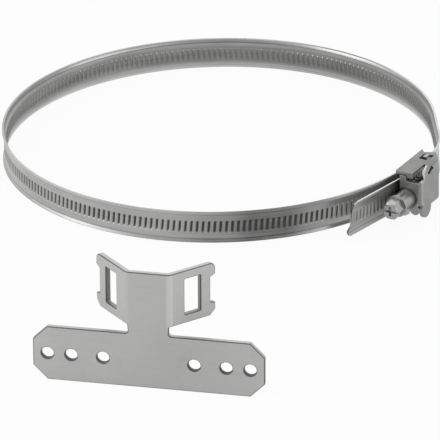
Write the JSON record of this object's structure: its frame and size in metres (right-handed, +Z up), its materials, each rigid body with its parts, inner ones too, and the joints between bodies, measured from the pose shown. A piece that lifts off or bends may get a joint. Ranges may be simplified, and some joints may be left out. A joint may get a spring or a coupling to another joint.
{
  "type": "mast mounting bracket",
  "caption": "Flat drilled bar with a neck and two slotted wings, folded back, beside the worm-drive band clamp that straps it to a mast.",
  "frame": {"origin": "on the mast's axis, at the middle of the band's height", "axes": "+X along the bar, to the right as seen from its front; +Y from the plate towards the mast; +Z up, against gravity"},
  "size_m": [0.1698, 0.2732, 0.043],
  "materials": {
    "plate_steel": "satin sheet steel",
    "band_steel": "bright rolled stainless strip",
    "housing_steel": "pressed stainless sheet",
    "screw_steel": "semi-gloss plated steel"
  },
  "bodies": {
    "root": {"bracket_plate": "plate_steel", "band": "band_steel", "saddle": "housing_steel"},
    "housing": {"screw_housing": "housing_steel", "guide_sleeve": "screw_steel"},
    "screw": {"worm_screw": "screw_steel"}
  },
  "joints": [
    {"name": "housing_swing", "type": "hinge", "parent": "root", "child": "housing", "pos_m": [0.083, -0.02928, 0.00146], "axis": [-0.0158, 0.0051, 0.9999], "range_deg": [0, 60]},
    {"name": "screw_turn", "type": "hinge", "parent": "housing", "child": "screw", "pos_m": [0.08368, -0.02719, 0.00146], "axis": [0.309, 0.9511, 0], "continuous": true}
  ]
}
